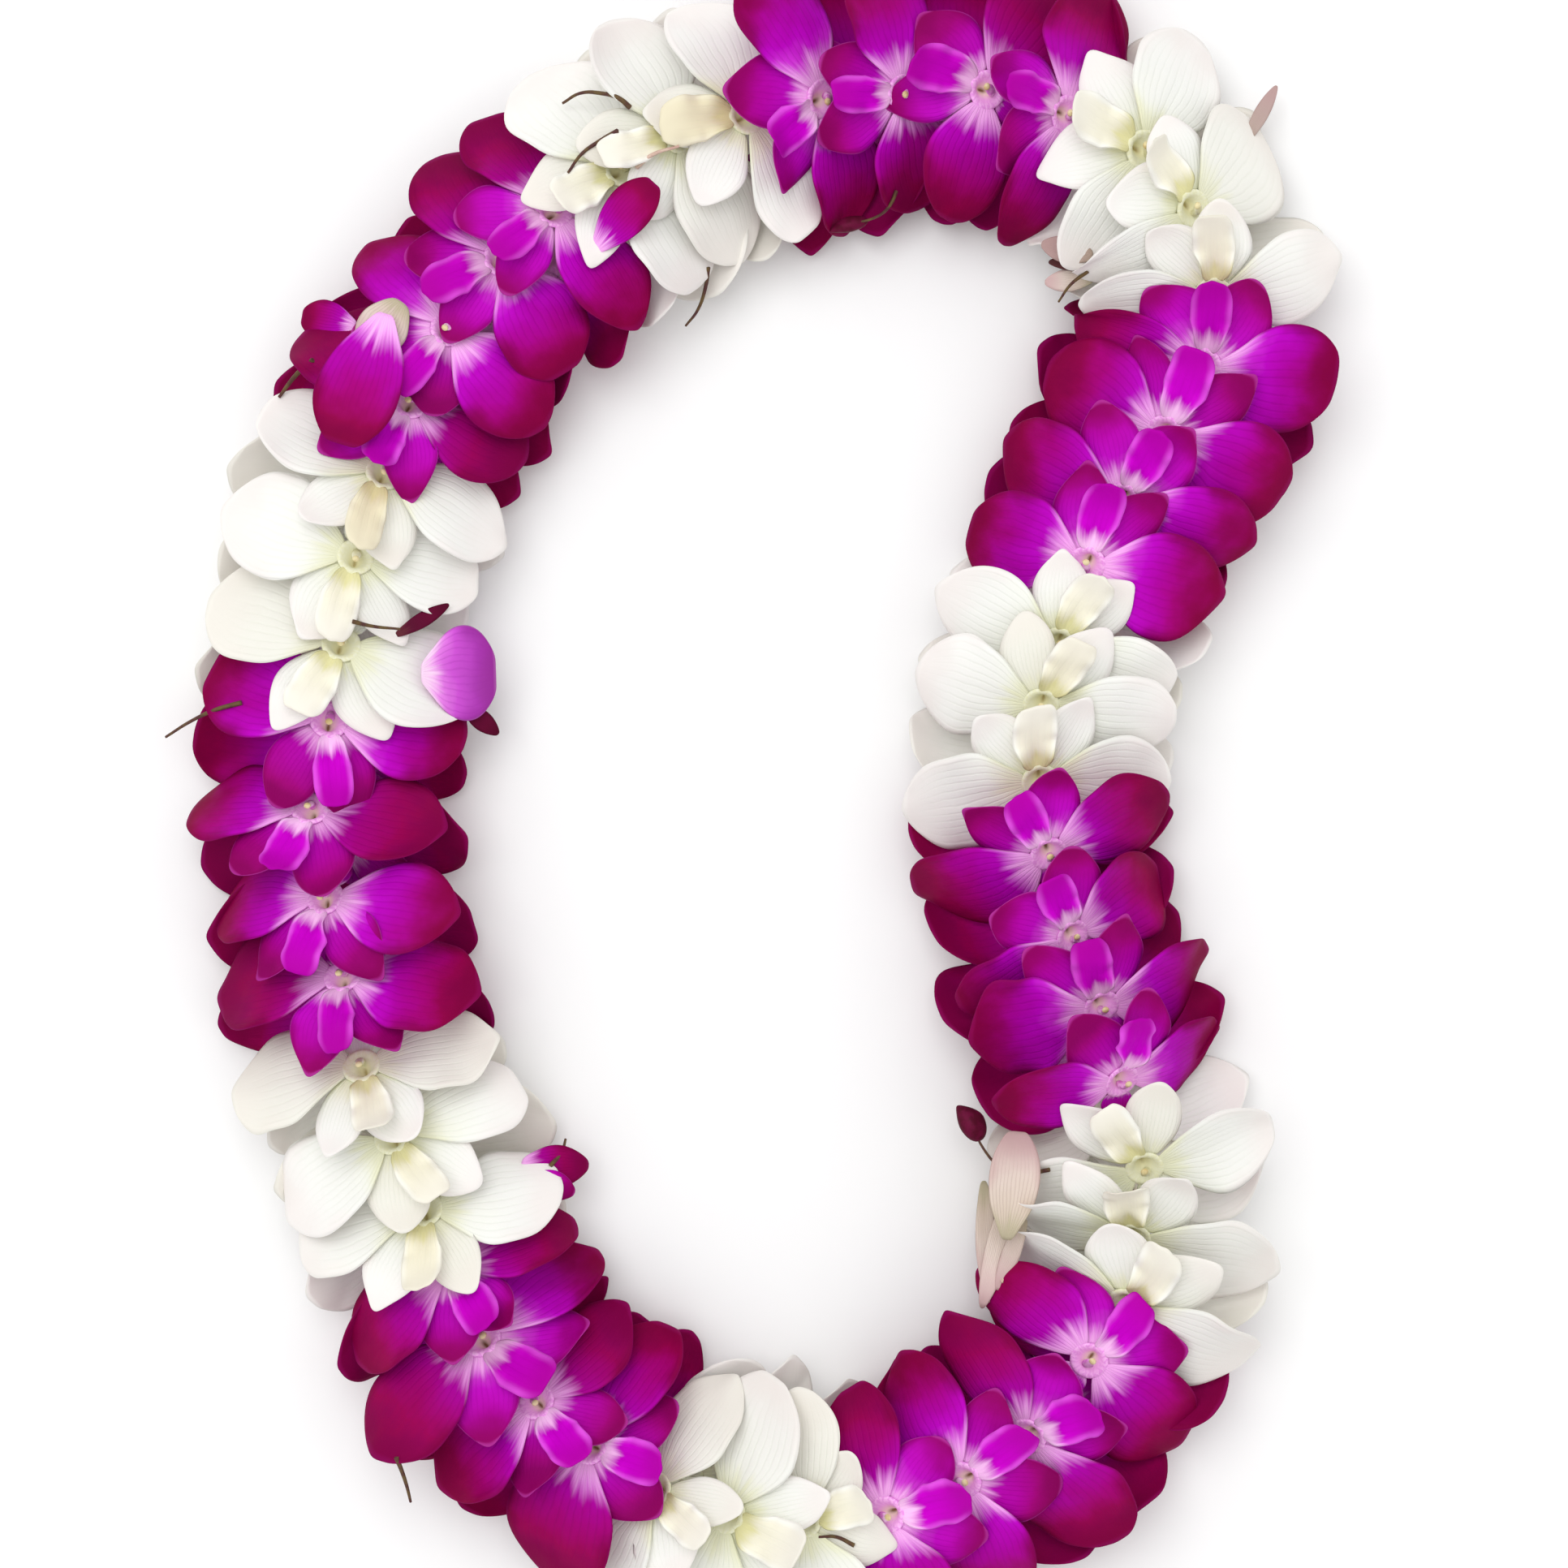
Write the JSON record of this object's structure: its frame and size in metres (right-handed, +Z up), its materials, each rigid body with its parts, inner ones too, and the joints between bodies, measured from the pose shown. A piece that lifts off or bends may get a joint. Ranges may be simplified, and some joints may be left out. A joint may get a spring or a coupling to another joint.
{
  "type": "fresh flower lei",
  "caption": "Closed garland of fresh orchid blooms in alternating purple and white bands on a tied thread, lying flat.",
  "frame": {"origin": "on the surface the lei lies on, under the middle of its outline", "axes": "+Z up out of the surface, +Y along the loop's longer side, +X to the right seen from above"},
  "size_m": [0.2979, 0.438, 0.0449],
  "materials": {
    "purple_petals": "satin",
    "white_petals": "satin",
    "thread": "matte"
  },
  "bodies": {
    "root": {"purple_blooms_02_1": "purple_petals", "purple_blooms_02_2": "purple_petals", "purple_blooms_02_3": "purple_petals", "purple_blooms_02_4": "purple_petals", "purple_blooms_04_1": "purple_petals", "purple_blooms_04_2": "purple_petals", "purple_blooms_04_3": "purple_petals", "purple_blooms_04_4": "purple_petals", "purple_blooms_06_1": "purple_petals", "purple_blooms_06_2": "purple_petals", "purple_blooms_06_3": "purple_petals", "purple_blooms_06_4": "purple_petals", "purple_blooms_08_1": "purple_petals", "purple_blooms_08_2": "purple_petals", "purple_blooms_08_3": "purple_petals", "purple_blooms_08_4": "purple_petals", "purple_blooms_10_1": "purple_petals", "purple_blooms_10_2": "purple_petals", "purple_blooms_10_3": "purple_petals", "purple_blooms_10_4": "purple_petals", "purple_blooms_12_1": "purple_petals", "purple_blooms_12_2": "purple_petals", "purple_blooms_12_3": "purple_petals", "purple_blooms_12_4": "purple_petals", "purple_blooms_14_1": "purple_petals", "purple_blooms_14_2": "purple_petals", "purple_blooms_14_3": "purple_petals", "purple_blooms_14_4": "purple_petals", "thread": "thread", "white_blooms_01_1": "white_petals", "white_blooms_01_2": "white_petals", "white_blooms_01_3": "white_petals", "white_blooms_03_1": "white_petals", "white_blooms_03_2": "white_petals", "white_blooms_03_3": "white_petals", "white_blooms_05_1": "white_petals", "white_blooms_05_2": "white_petals", "white_blooms_05_3": "white_petals", "white_blooms_07_1": "white_petals", "white_blooms_07_2": "white_petals", "white_blooms_07_3": "white_petals", "white_blooms_09_1": "white_petals", "white_blooms_09_2": "white_petals", "white_blooms_09_3": "white_petals", "white_blooms_11_1": "white_petals", "white_blooms_11_2": "white_petals", "white_blooms_11_3": "white_petals", "white_blooms_13_1": "white_petals", "white_blooms_13_2": "white_petals", "white_blooms_13_3": "white_petals"}
  },
  "joints": []
}
